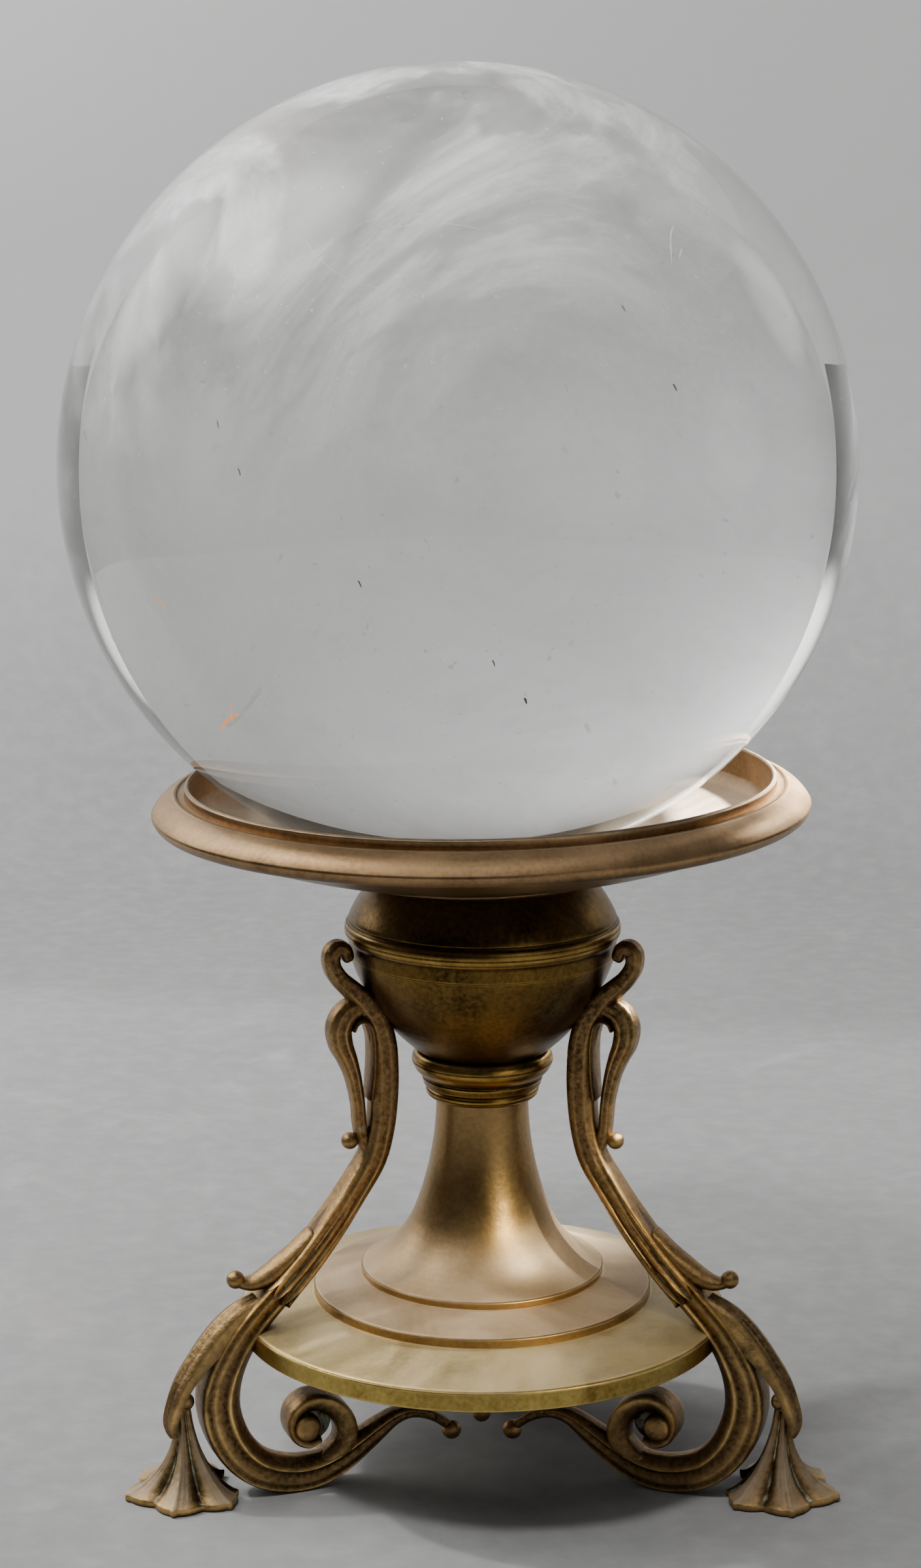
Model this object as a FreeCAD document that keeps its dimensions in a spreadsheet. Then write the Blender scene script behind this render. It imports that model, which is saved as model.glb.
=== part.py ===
import FreeCAD, Part
import math
import os
import Sketcher

doc = FreeCAD.newDocument("crystal_ball_stand")
V = FreeCAD.Vector

# ---------------------------------------------------------------- driving sizes, millimetres
SIZES = {
    # the loose ball
    "ball_radius": 127, "ball_shift": 8, "ball_height": 336,
    # base: a stepped foot of three turned plates
    "plate_radius": 81, "plate_top": 57, "plate_edge": 6.9, "plate_wall": 2.4,
    "step_radius": 56.3, "step_top": 64.6, "step_edge": 3,
    "flare_radius": 40.5, "flare_top": 71, "flare_edge": 2.4,
    # stem
    "neck_radius": 15.3, "neck_top": 129.2, "stem_wall": 2.2,
    "ring_radius": 18.8, "ring_top": 133,
    "collar_radius": 23.4, "collar_top": 145,
    # hollow knop, three spun shells
    "bowl_radius": 43.6, "bowl_top": 178, "shell_wall": 1.8,
    "band_radius": 43.9, "bead_height": 186.2, "band_top": 190,
    "dome_radius": 48, "dome_centre": 170.8, "dome_flat": 203.65,
    # dish, leaning a little to the left on the domed knop
    "dish_lean": 1.15, "flange_radius": 50, "flange_under": 207.1, "well_under": 205.9, "well_radius": 29,
    "floor_under": 208.3, "pan_wall": 1.6, "lip_radius": 96, "lip_top": 236.8, "rim_radius": 107,
    "pad_radius": 18, "pad_thick": 1.1,
    # rod and fasteners
    "rod_radius": 4, "rod_top": 203.2, "rod_foot": 49, "boss_radius": 12, "screw_radius": 1.6,
    "knop_screw_height": 160, "plate_screw_height": 52.4,
    # cast legs
    "leg_thick": 10, "leg_bevel": 2, "loop_thick": 7, "volute_thick": 11, "tendril_thick": 5,
    "leaf_thick": 13,
    "foot_thick": 3, "foot_reach": 98, "leg_turn": 20,
}

sheet = doc.addObject("Spreadsheet::Sheet", "Sheet")
for row, (alias, amount) in enumerate(SIZES.items(), start=1):
    sheet.set("A%d" % row, alias.replace("_", " "))
    sheet.set("B%d" % row, str(amount))
    sheet.setAlias("B%d" % row, alias)
doc.recompute()


class Size:
    """A length that knows both its amount and the sheet expression it comes from."""

    def __init__(self, amount, text):
        self.amount = float(amount)
        self.text = text

    def join(self, other, sign, amount):
        other_text = other.text if isinstance(other, Size) else repr(float(other))
        return Size(amount, "(%s %s %s)" % (self.text, sign, other_text))

    def __add__(self, other):
        return self.join(other, "+", self.amount + plain(other))

    def __sub__(self, other):
        return self.join(other, "-", self.amount - plain(other))

    def __mul__(self, other):
        return self.join(other, "*", self.amount * plain(other))


def plain(length):
    return length.amount if isinstance(length, Size) else float(length)


def s(alias):
    return Size(SIZES[alias], "Sheet." + alias)


def bind(thing, prop, length):
    if isinstance(length, Size):
        thing.setExpression(prop, length.text)


# ---------------------------------------------------------------- sketches and bodies
def new_body(name):
    body = doc.addObject("PartDesign::Body", name)
    body.Label = name
    return body


def plane(body, role):
    for feature in body.Origin.OriginFeatures:
        if feature.Role == role:
            return feature


def new_sketch(body, name, role="XZ_Plane"):
    sketch = body.newObject("Sketcher::SketchObject", name)
    sketch.AttachmentSupport = [(plane(body, role), "")]
    sketch.MapMode = "FlatFace"
    return sketch


def arc_between(a, b, radius, turn):
    """Arc from a to b; turn +1 bends it counter-clockwise, -1 clockwise."""
    ax, ay, bx, by = plain(a[0]), plain(a[1]), plain(b[0]), plain(b[1])
    half = math.hypot(bx - ax, by - ay) / 2
    rise = math.sqrt(max(radius ** 2 - half ** 2, 0))
    cx = (ax + bx) / 2 - turn * rise * (by - ay) / (2 * half)
    cy = (ay + by) / 2 + turn * rise * (bx - ax) / (2 * half)
    first, last = math.atan2(ay - cy, ax - cx), math.atan2(by - cy, bx - cx)
    if turn < 0:
        first, last = last, first
    if last < first:
        last += 2 * math.pi
    return Part.ArcOfCircle(Part.Circle(V(cx, cy, 0), V(0, 0, 1), radius), first, last)


def outline(sketch, corners):
    """A closed outline from corners (x, y), or (x, y, radius, turn) where the edge that leaves it is bent."""
    count = len(corners)
    starts = []
    for i, corner in enumerate(corners):
        after = corners[(i + 1) % count]
        if len(corner) == 4:
            index = sketch.addGeometry(arc_between(corner, after, plain(corner[2]), corner[3]))
            starts.append((index, 1 if corner[3] > 0 else 2, 2 if corner[3] > 0 else 1))
            radius_at = sketch.addConstraint(Sketcher.Constraint("Radius", index, plain(corner[2])))
            bind(sketch, "Constraints[%d]" % radius_at, corner[2])
        else:
            ends = [V(plain(x), plain(y), 0) for x, y in (corner[:2], after[:2])]
            starts.append((sketch.addGeometry(Part.LineSegment(*ends)), 1, 2))
    for i, corner in enumerate(corners):
        before = starts[i - 1]
        here = starts[i]
        sketch.addConstraint(Sketcher.Constraint("Coincident", before[0], before[2], here[0], here[1]))
        for kind, length in (("DistanceX", corner[0]), ("DistanceY", corner[1])):
            amount = plain(length)
            if abs(amount) < 1e-9:
                axis = -2 if kind == "DistanceX" else -1
                sketch.addConstraint(Sketcher.Constraint("PointOnObject", here[0], here[1], axis))
            else:
                at = sketch.addConstraint(Sketcher.Constraint(kind, -1, 1, here[0], here[1], amount))
                bind(sketch, "Constraints[%d]" % at, length)


def turned(name, corners):
    """A piece turned about the upright axis from the outline of one side."""
    body = new_body(name)
    sketch = new_sketch(body, name + "_profile")
    outline(sketch, corners)
    spin = body.newObject("PartDesign::Revolution", name + "_turned")
    spin.Profile = sketch
    spin.ReferenceAxis = (sketch, ["V_Axis"])
    spin.Angle = 360
    sketch.Visibility = False
    return body


# ---------------------------------------------------------------- base and stem
hole = s("rod_radius") + 0.3
wall = s("plate_wall")
plate_flat = s("step_top") - s("step_edge")
plate_rim = s("plate_top") - s("plate_edge")
turned("base_plate", [
    (hole, plate_flat), (s("step_radius"), plate_flat), (s("plate_radius"), s("plate_top")),
    (s("plate_radius"), plate_rim), (s("plate_radius") - wall, plate_rim),
    (s("plate_radius") - wall, s("plate_top") - wall), (s("step_radius"), plate_flat - wall),
    (hole, plate_flat - wall),
])

step_flat = s("flare_top") - s("flare_edge")
turned("step_disc", [
    (hole, step_flat), (s("flare_radius"), step_flat), (s("step_radius"), s("step_top")),
    (s("step_radius"), plate_flat), (s("step_radius") - wall, plate_flat),
    (s("step_radius") - wall, s("step_top") - 1.6), (s("flare_radius"), step_flat - wall),
    (hole, step_flat - wall),
])

turned("stem", [
    (s("flare_radius"), step_flat), (s("flare_radius"), s("flare_top")),
    (s("flare_radius") - 2, s("flare_top") + 0.7, 34, -1), (22.4, 90, 110, -1),
    (s("neck_radius"), 125), (s("neck_radius"), s("neck_top")),
    (s("neck_radius") - s("stem_wall"), s("neck_top")), (s("neck_radius") - s("stem_wall"), 125, 112, 1),
    (20.2, 90, 36, 1), (s("flare_radius") - 5, step_flat),
])

turned("neck_ring", [
    (hole, s("neck_top")), (s("ring_radius") - 1.2, s("neck_top"), 2.1, 1),
    (s("ring_radius") - 1.2, s("ring_top")), (hole, s("ring_top")),
])

turned("collar_ring", [
    (hole, s("ring_top")), (s("collar_radius") - 4, s("ring_top")),
    (s("collar_radius") - 3.2, s("ring_top") + 3),
    (s("collar_radius") - 0.3, s("collar_top") - 5.5, 3.6, 1), (s("collar_radius") - 1.3, s("collar_top")),
    (hole, s("collar_top")),
])

# ---------------------------------------------------------------- hollow knop
thin = s("shell_wall")
bowl_foot = s("collar_radius") - 1.4
BOWL_CURVE = 61
turned("knop_bowl", [
    (hole, s("collar_top")), (bowl_foot, s("collar_top"), BOWL_CURVE, 1), (s("bowl_radius"), s("bowl_top")),
    (s("bowl_radius") - thin, s("bowl_top"), BOWL_CURVE - 2, -1), (bowl_foot - 1.2, s("collar_top") + thin),
    (hole, s("collar_top") + thin),
])

turned("knop_band", [
    (s("band_radius") - thin, s("bowl_top")), (s("band_radius"), s("bowl_top")),
    (s("band_radius"), s("bead_height") - 2.8, 3.5, 1), (s("band_radius"), s("bead_height") + 2.8),
    (s("band_radius"), s("band_top")), (s("band_radius") - thin, s("band_top")),
])

under_dome = s("dome_flat") - 1.65
turned("knop_dome", [
    (s("band_radius"), s("band_top"), s("dome_radius"), 1), (35, s("dome_flat")),
    (s("boss_radius") + 1.6, s("dome_flat")), (s("boss_radius") + 1.6, under_dome),
    (33.6, under_dome, 46.3, -1), (s("band_radius") - thin, s("band_top")),
])

# ---------------------------------------------------------------- dish: drawn level, then leant over
plate_under = s("dome_flat") + 0.75
well_bore = s("well_radius") + 0.3
flange = turned("dish_flange", [
    (0, s("well_under")), (well_bore, s("well_under")), (well_bore, s("floor_under")),
    (s("flange_radius"), s("floor_under")), (s("flange_radius"), s("flange_under")),
    (34.5, s("flange_under")), (34.5, plate_under), (s("boss_radius"), plate_under),
    (s("boss_radius"), plate_under - 11.4), (hole, plate_under - 11.4), (hole, s("rod_top") + 0.3),
    (0, s("rod_top") + 0.3),
])

pan_floor = s("floor_under") + s("pan_wall")
well_floor = s("well_under") + s("pan_wall")
lip_in = s("lip_radius") - s("pan_wall")
pan = turned("dish_pan", [
    (0, s("well_under")), (s("well_radius"), s("well_under")), (s("well_radius"), s("floor_under")),
    (s("flange_radius") - 0.4, s("floor_under"), 240, 1), (s("lip_radius"), 222),
    (s("lip_radius"), s("lip_top") - 0.6),
    (s("lip_radius") - 0.6, s("lip_top")), (lip_in + 0.4, s("lip_top")), (lip_in, s("lip_top") - 0.4),
    (lip_in, 227, 9, -1), (lip_in - 3, 222.9, 238, -1), (s("flange_radius") - 1, pan_floor),
    (s("well_radius") - 1.6, pan_floor), (s("well_radius") - 1.6, well_floor), (0, well_floor),
])

rim = turned("dish_rim", [
    (s("lip_radius") + 0.02, 222), (s("rim_radius") - 3.4, 224, 3.6, 1),
    (s("rim_radius") - 0.2, 228.6, 14, 1),
    (s("lip_radius") + 3.2, 234.2), (s("lip_radius") + 2.4, 233.4), (s("lip_radius") + 0.02, 233.4),
])


# ---------------------------------------------------------------- rod, nut, screws
def primitive(body, kind, name, position, direction=V(0, 0, 1), **sizes):
    """A primitive feature of a body along the given direction; every size may come from the sheet."""
    feature = body.newObject("PartDesign::" + kind, name)
    for prop, length in sizes.items():
        setattr(feature, prop, length.amount if isinstance(length, Size) else length)
        bind(feature, prop, length)
    feature.Placement = FreeCAD.Placement(position, FreeCAD.Rotation(V(0, 0, 1), direction))
    return feature


rod = new_body("tie_rod")
primitive(rod, "AdditiveCylinder", "rod", V(0, 0, SIZES["rod_foot"]), Radius=s("rod_radius"),
          Height=s("rod_top") - s("rod_foot"))

backing_top = plain(plate_flat - wall)
backing = new_body("backing_plate")
primitive(backing, "AdditiveCylinder", "washer_disc", V(0, 0, backing_top - 2), Radius=24, Height=2)
primitive(backing, "SubtractiveCylinder", "washer_bore", V(0, 0, backing_top - 3), Radius=hole, Height=4)

nut = new_body("bottom_nut")
primitive(nut, "AdditivePrism", "nut_hexagon", V(0, 0, backing_top - 8), Polygon=6, Circumradius=7.5,
          Height=6)
primitive(nut, "SubtractiveCylinder", "nut_bore", V(0, 0, backing_top - 9),
          Radius=s("rod_radius") + 0.02, Height=8)

LEG_AZIMUTHS = {"leg_left": 180 + SIZES["leg_turn"], "leg_right": 360 - SIZES["leg_turn"], "leg_back": 90}


def outward(azimuth):
    angle = math.radians(azimuth)
    return V(math.cos(angle), math.sin(angle), 0)


def radial_screws(name, height, head_at, head_long, head_radius, shank_radius, tip_at):
    """Three round-headed screws pointing outward, one behind each leg, as separate solids of one piece."""
    screws = []
    for leg, azimuth in LEG_AZIMUTHS.items():
        away = outward(azimuth)
        turn = FreeCAD.Rotation(V(0, 0, 1), away)
        solids = []
        neck_at = head_at + head_long - 0.3
        for part, start, long, radius in (("head", head_at, head_long, head_radius),
                                          ("shank", neck_at, tip_at - neck_at, shank_radius)):
            solid = doc.addObject("Part::Cylinder", "%s_%s_%s" % (name, part, leg))
            solid.Radius, solid.Height = plain(radius), long
            bind(solid, "Radius", radius)
            solid.Placement = FreeCAD.Placement(away * start + V(0, 0, height), turn)
            solids.append(solid)
        screw = doc.addObject("Part::MultiFuse", "%s_%s" % (name, leg))
        screw.Shapes = solids
        screws.append(screw)
    return gathered(name, screws)


def gathered(name, solids):
    group = doc.addObject("Part::Compound", name)
    group.Label = name
    group.Links = solids
    LOOSE.append(group)
    return group


LOOSE = []
radial_screws("knop_screws", SIZES["knop_screw_height"], 28.4, 2.2, 2.6, s("screw_radius"), 41)
radial_screws("plate_screws", SIZES["plate_screw_height"], 76.2, 2.2, 2.0, s("screw_radius") - 0.3, 87)

PAN_SCREW_AT = 8
dish_screws = []
for i in range(3):
    away = outward(120 * i) * PAN_SCREW_AT
    head = doc.addObject("Part::Cone", "pan_screw_head_%d" % i)
    head.Radius1, head.Radius2, head.Height = SIZES["screw_radius"], 2.8, 1.4
    head.setExpression("Radius1", "Sheet.screw_radius")
    head.Placement.Base = away + V(0, 0, plain(well_floor) - 1.4)
    shank = doc.addObject("Part::Cylinder", "pan_screw_shank_%d" % i)
    shank.Radius, shank.Height = SIZES["screw_radius"], 6.5
    shank.setExpression("Radius", "Sheet.screw_radius")
    shank.Placement.Base = away + V(0, 0, plain(well_floor) - 7.8)
    screw = doc.addObject("Part::MultiFuse", "pan_screw_%d" % i)
    screw.Shapes = [head, shank]
    dish_screws.append(screw)
    for body, top in ((pan, plain(well_floor)), (flange, plain(s("well_under")))):
        primitive(body, "SubtractiveCylinder", "%s_screw_hole_%d" % (body.Label, i), away + V(0, 0, top - 8),
                  Radius=s("screw_radius") + 0.02, Height=9)
    primitive(pan, "SubtractiveCone", "pan_countersink_%d" % i, away + V(0, 0, plain(well_floor) - 1.4),
              Radius1=s("screw_radius") + 0.02, Radius2=2.9, Height=1.45)
pan_screws = gathered("pan_screws", dish_screws)

for leg, azimuth in LEG_AZIMUTHS.items():
    away = outward(azimuth)
    for body, height, start, radius in (
            ("knop_bowl", SIZES["knop_screw_height"], 29, s("screw_radius") + 0.3),
            ("base_plate", SIZES["plate_screw_height"], 76, s("screw_radius"))):
        primitive(doc.getObject(body), "SubtractiveCylinder", "%s_hole_%s" % (body, leg),
                  away * start + V(0, 0, height), away, Radius=radius, Height=12)

# ---------------------------------------------------------------- cast legs
# Each leg is drawn in its own upright plane: x runs outward from the axis, y is the height above the floor.
STROKE = [  # centreline of the long S and the C below it, with the width of the stroke
    (48.3, 182.5, 4.8), (51.9, 180.6, 5.2), (50.5, 175, 5.8), (46, 170, 6.5), (41, 164.5, 7.8),
    (37, 158, 8.5), (35.2, 150, 9), (34.6, 141, 9), (34.8, 132, 9), (35.8, 122, 8.5),
    (38.3, 112, 9), (45, 101, 9), (52, 91, 9.5), (61, 79.5, 9.5), (71.5, 69, 9.8),
    (81.2, 58.8, 10.4), (88, 48.4, 11.8), (91.4, 38.2, 13), (91.2, 28.6, 13.2), (87, 17.8, 12.8),
    (79.4, 9.9, 12), (69.5, 6.2, 11.4), (60, 6, 10.6), (53, 8, 9.2), (48, 10.5, 8.4),
]
TENDRIL = [
    (50, 10, 6), (44.5, 12, 6), (36, 17, 5.6), (29, 20.5, 4.6), (22, 21, 4), (15.5, 17.5, 3.8),
    (11.5, 13.5, 3.6),
]
LOOP = [
    (41.5, 163, 5), (47.4, 161, 6), (50.4, 155.8, 7), (49.6, 151, 6.6), (46.2, 144, 5),
    (43.5, 137, 4.2), (42.5, 130, 3.8), (42.2, 122, 3.8), (40.5, 114, 4),
]
VOLUTE = [
    (46, 12), (46.3, 21.3), (49.2, 28.2), (54.9, 32.3), (59.9, 33.4), (65.1, 30.9), (67.6, 25.5),
    (65.9, 19.6), (61, 18), (56.5, 15.8), (53, 9.5),
]
BRACT = [
    (60, 85), (68, 81.6), (76, 77.4), (83, 78), (87.6, 76.6), (87, 73), (82.5, 72), (78.5, 71.6),
    (75, 68.6), (69, 66),
]
LEAF = [
    (80, 66), (83.8, 67.7), (89.4, 62.8), (95.1, 59), (99.6, 54), (105.2, 46.8), (108.2, 41.5),
    (110.5, 35), (110.8, 29.4), (108.2, 24), (104, 26), (101.5, 33), (97, 38), (92, 46), (86, 54),
]
LOBES = ((0, 22, 6.2), (50, 18, 5.8), (-50, 18, 5.8), (105, 13, 5.4), (-105, 13, 5.4))


def ribbon_sides(stroke):
    """The two edges of a stroke of changing width, found square to its centreline."""
    left, right = [], []
    for i, (x, y, width) in enumerate(stroke):
        before, after = stroke[max(i - 1, 0)], stroke[min(i + 1, len(stroke) - 1)]
        along = V(after[0] - before[0], after[1] - before[1], 0).normalize()
        left.append(V(x - along.y * width / 2, y + along.x * width / 2, 0))
        right.append(V(x + along.y * width / 2, y - along.x * width / 2, 0))
    return left, right


def smooth(points, closed=False):
    curve = Part.BSplineCurve()
    curve.interpolate(Points=points, PeriodicFlag=closed)
    return curve


def slab(body, name, curves, thick, bevel=None):
    """A flat casting about the leg's middle plane, with bevelled edges where they will take it."""
    sketch = new_sketch(body, name + "_outline")
    lines = [sketch.addGeometry(curve) for curve in curves]
    if len(lines) > 1:
        for i, line in enumerate(lines):
            sketch.addConstraint(Sketcher.Constraint("Coincident", lines[i - 1], 2, line, 1))
    before = body.Tip
    pad = body.newObject("PartDesign::Pad", name)
    pad.Profile = sketch
    pad.Length = plain(thick)
    bind(pad, "Length", thick)
    pad.Midplane = True
    sketch.Visibility = False
    if bevel and before is None:
        doc.recompute()
        sides = ["Face%d" % (i + 1) for i, face in enumerate(pad.Shape.Faces)
                 if isinstance(face.Surface, Part.Plane) and abs(face.normalAt(0, 0).y) > 0.99]
        cut = body.newObject("PartDesign::Chamfer", name + "_bevel")
        cut.Base = (pad, sides)
        cut.Size = plain(bevel)
        bind(cut, "Size", bevel)
        doc.recompute()
        if "Invalid" in cut.State or not cut.Shape.isValid():
            body.removeObject(cut)
            doc.removeObject(cut.Name)
            body.Tip = pad
            print("no bevel on", body.Label, name)
    return pad


def ribbon(body, name, stroke, thick, bevel=None):
    left, right = ribbon_sides(stroke)
    right.reverse()
    return slab(body, name, [smooth(left), Part.LineSegment(left[-1], right[0]), smooth(right),
                             Part.LineSegment(right[-1], left[0])], thick, bevel)


def foot_rib(body, name, angle, reach, lobe):
    """One lobe of the spreading foot: a flat toe and a rib that rises from it to the leaf."""
    away = outward(angle)
    centre = V(SIZES["foot_reach"], 0, 0)
    primitive(body, "AdditiveCylinder", name + "_toe", centre + away * (reach - lobe), Radius=lobe,
              Height=s("foot_thick"))
    toe = V(SIZES["foot_reach"] + away.x * (reach - lobe), away.y * (reach - lobe), SIZES["foot_thick"] - 0.2)
    stations = [(toe, lobe - 0.4)]
    for share, height, radius in ((0.55, 9, 0.72), (0.3, 18, 0.6), (0.16, 30, 0.55)):
        inward = SIZES["foot_reach"] + 5 * (height - 3) / 27
        stations.append((V(inward + away.x * reach * share, away.y * reach * share, height), lobe * radius))
    sections = []
    for i, (at, radius) in enumerate(stations):
        sketch = body.newObject("Sketcher::SketchObject", "%s_section_%d" % (name, i))
        sketch.AttachmentSupport = [(plane(body, "XY_Plane"), "")]
        sketch.MapMode = "FlatFace"
        sketch.AttachmentOffset = FreeCAD.Placement(at, FreeCAD.Rotation())
        circle = sketch.addGeometry(Part.Circle(V(0, 0, 0), V(0, 0, 1), radius))
        sketch.addConstraint(Sketcher.Constraint("Coincident", circle, 3, -1, 1))
        sketch.addConstraint(Sketcher.Constraint("Radius", circle, radius))
        sketch.Visibility = False
        sections.append(sketch)
    loft = body.newObject("PartDesign::AdditiveLoft", name)
    loft.Profile = sections[0]
    loft.Sections = sections[1:]
    return loft


def groove(body, name, corners):
    """Turned clearance for the round parts that the leg is fixed against."""
    sketch = new_sketch(body, name + "_profile")
    outline(sketch, corners)
    cut = body.newObject("PartDesign::Groove", name)
    cut.Profile = sketch
    cut.ReferenceAxis = (sketch, ["V_Axis"])
    cut.Angle = 360
    sketch.Visibility = False
    return cut


def leg(name, azimuth):
    body = new_body(name)
    ribbon(body, "stroke_" + name, STROKE, s("leg_thick"), s("leg_bevel"))
    ribbon(body, "tendril_" + name, TENDRIL, s("tendril_thick"))
    ribbon(body, "loop_" + name, LOOP, s("loop_thick"))
    slab(body, "volute_" + name, [smooth([V(x, y, 0) for x, y in VOLUTE], True)], s("volute_thick"))
    slab(body, "bract_" + name, [smooth([V(x, y, 0) for x, y in BRACT], True)], s("volute_thick"))
    slab(body, "leaf_" + name, [smooth([V(x, y, 0) for x, y in LEAF], True)], s("leaf_thick"))
    for lobe, (angle, reach, radius) in enumerate(LOBES):
        foot_rib(body, "rib_%d_%s" % (lobe, name), angle, reach, radius)
    for ball, x, height, radius in (("tendril_end", 10.7, 12.3, 3.4), ("knob", 85.4, 74.9, 3.4),
                                    ("loop_ball", 45.2, 117.7, 2.9), ("leaf_bead", 106, 37, 3)):
        primitive(body, "AdditiveSphere", "%s_%s" % (ball, name), V(x, 0, height), Radius=radius)
    primitive(body, "AdditiveCylinder", "eye_" + name, V(62, plain(s("volute_thick")) / 2 + 1.5, 23.6),
              V(0, -1, 0),
              Radius=4.4, Height=s("volute_thick") + 3)
    groove(body, "plate_seat_" + name, [
        (60, plate_rim), (s("plate_radius") + 0.02, plate_rim),
        (s("plate_radius") + 0.02, s("plate_top") + 0.02),
        (60, 61.2),
    ])
    groove(body, "bowl_seat_" + name, [
        (15, s("collar_top")), (bowl_foot + 0.05, s("collar_top"), BOWL_CURVE, 1),
        (s("band_radius") + 0.05, s("bowl_top")), (s("band_radius") + 0.05, s("bead_height") - 2.8),
        (s("band_radius") + 1.5, s("bead_height")), (s("band_radius") + 1.5, s("band_top")),
        (15, s("band_top")),
    ])
    out = V(1, 0, 0)
    primitive(body, "SubtractiveCylinder", "knop_screw_hole_" + name,
              V(28, 0, SIZES["knop_screw_height"]), out,
              Radius=s("screw_radius") + 0.02, Height=13.1)
    primitive(body, "SubtractiveCylinder", "plate_screw_hole_" + name,
              V(75, 0, SIZES["plate_screw_height"]), out,
              Radius=s("screw_radius") - 0.28, Height=12.1)
    body.Placement = FreeCAD.Placement(V(0, 0, 0), FreeCAD.Rotation(V(0, 0, 1), azimuth))
    return body


for name, azimuth in LEG_AZIMUTHS.items():
    leg(name, azimuth)

# ---------------------------------------------------------------- felt pad and ball, and the lean of the dish
LEAN = FreeCAD.Rotation(V(0, 1, 0), -SIZES["dish_lean"])
PIVOT = V(0, 0, 199)
for piece in (flange, pan, rim, pan_screws):
    piece.Placement = FreeCAD.Placement(V(0, 0, 0), LEAN, PIVOT)

ball_centre = V(-SIZES["ball_shift"], 0, SIZES["ball_height"])
up = LEAN.multVec(V(0, 0, 1))
pad = new_body("felt_pad")
primitive(pad, "AdditiveCylinder", "pad_disc", V(0, 0, 0), Radius=s("pad_radius"), Height=s("pad_thick"))
pad.Placement = FreeCAD.Placement(ball_centre - up * (SIZES["ball_radius"] + 0.3 + SIZES["pad_thick"]), LEAN)

ball = new_body("crystal_ball")
primitive(ball, "AdditiveSphere", "ball", V(0, 0, 0), Radius=s("ball_radius"))
ball.Placement.Base = ball_centre

doc.recompute()
for thing in doc.Objects:
    bad = [flag for flag in thing.State if flag in ("Invalid", "Error")]
    if bad:
        raise RuntimeError("%s is %s" % (thing.Label, bad))
PARTS = [thing for thing in doc.Objects if thing.TypeId == "PartDesign::Body"] + LOOSE
for thing in PARTS:
    if thing.Shape.isNull() or not thing.Shape.isValid() or not thing.Shape.Solids:
        raise RuntimeError("%s has no sound solid" % thing.Label)
os.makedirs("parts", exist_ok=True)
for thing in PARTS:
    thing.Shape.exportStep("parts/%s.step" % thing.Label)
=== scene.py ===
import math

import bmesh
import bpy
from mathutils import Matrix, Vector


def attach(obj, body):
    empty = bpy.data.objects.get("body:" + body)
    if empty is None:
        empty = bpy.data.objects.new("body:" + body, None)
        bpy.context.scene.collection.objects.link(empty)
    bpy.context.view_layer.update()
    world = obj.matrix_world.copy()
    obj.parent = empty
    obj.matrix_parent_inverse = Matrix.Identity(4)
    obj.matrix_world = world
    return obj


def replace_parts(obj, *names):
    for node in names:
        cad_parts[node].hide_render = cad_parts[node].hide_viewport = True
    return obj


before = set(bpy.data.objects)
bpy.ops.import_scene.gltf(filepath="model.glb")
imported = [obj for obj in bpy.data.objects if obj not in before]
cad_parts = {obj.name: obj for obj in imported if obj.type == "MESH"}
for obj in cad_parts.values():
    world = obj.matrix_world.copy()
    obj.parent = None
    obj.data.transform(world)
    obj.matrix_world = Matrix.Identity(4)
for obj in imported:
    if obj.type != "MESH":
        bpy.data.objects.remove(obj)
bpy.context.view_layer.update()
MM = 0.001  # shapes are written in millimetres, lamps and the backdrop in metres
WELD = 2e-6  # points of one piece closer than this, in metres, become one


# ---------------------------------------------------------------- materials
class Nodes:
    """A short way to write a node tree."""

    def __init__(self, name):
        self.mat = bpy.data.materials.new(name)
        self.mat.use_nodes = True
        self.tree = self.mat.node_tree
        self.shader = self.tree.nodes["Principled BSDF"]
        self.place = self.node("ShaderNodeTexCoord").outputs["Object"]

    def node(self, kind, **inputs):
        made = self.tree.nodes.new(kind)
        for key, value in inputs.items():
            self.feed(made.inputs[key.replace("_", " ")], value)
        return made

    def feed(self, socket, value):
        if isinstance(value, bpy.types.NodeSocket):
            self.tree.links.new(value, socket)
        else:
            socket.default_value = value

    def noise(self, scale, detail, rough, distortion=0.0):
        made = self.node("ShaderNodeTexNoise", Scale=scale, Detail=detail, Roughness=rough,
                         Distortion=distortion, Vector=self.place)
        return made.outputs["Fac"]

    def ramp(self, fac, low, high, out_low=0.0, out_high=1.0):
        made = self.node("ShaderNodeMapRange")
        made.clamp = True
        for socket, value in zip(list(made.inputs)[:5], (fac, low, high, out_low, out_high)):
            self.feed(socket, value)
        return made.outputs["Result"]

    def math(self, how, a, b):
        """Everything but a sum or a difference is held between 0 and 1."""
        made = self.tree.nodes.new("ShaderNodeMath")
        made.operation = how
        made.use_clamp = how not in ("ADD", "SUBTRACT")
        self.feed(made.inputs[0], a)
        self.feed(made.inputs[1], b)
        return made.outputs[0]

    def mix(self, fac, a, b):
        made = self.tree.nodes.new("ShaderNodeMix")
        made.data_type = "RGBA"
        for index, value in ((0, fac), (6, a), (7, b)):
            self.feed(made.inputs[index], value)
        return made.outputs[2]

    def attribute(self, name):
        made = self.tree.nodes.new("ShaderNodeAttribute")
        made.attribute_name = name
        return made.outputs["Fac"]

    def upward(self, vector):
        return self.node("ShaderNodeSeparateXYZ", Vector=vector).outputs["Z"]

    def facing_up(self):
        return self.upward(self.node("ShaderNodeNewGeometry").outputs["Normal"])

    def bump(self, height, strength, distance, before=None):
        made = self.node("ShaderNodeBump", Strength=strength, Distance=distance, Height=height)
        if before is not None:
            self.feed(made.inputs["Normal"], before)
        return made.outputs["Normal"]

    def set(self, **sockets):
        for key, value in sockets.items():
            self.feed(self.shader.inputs[key.replace("_", " ")], value)
        return self.mat


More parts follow.
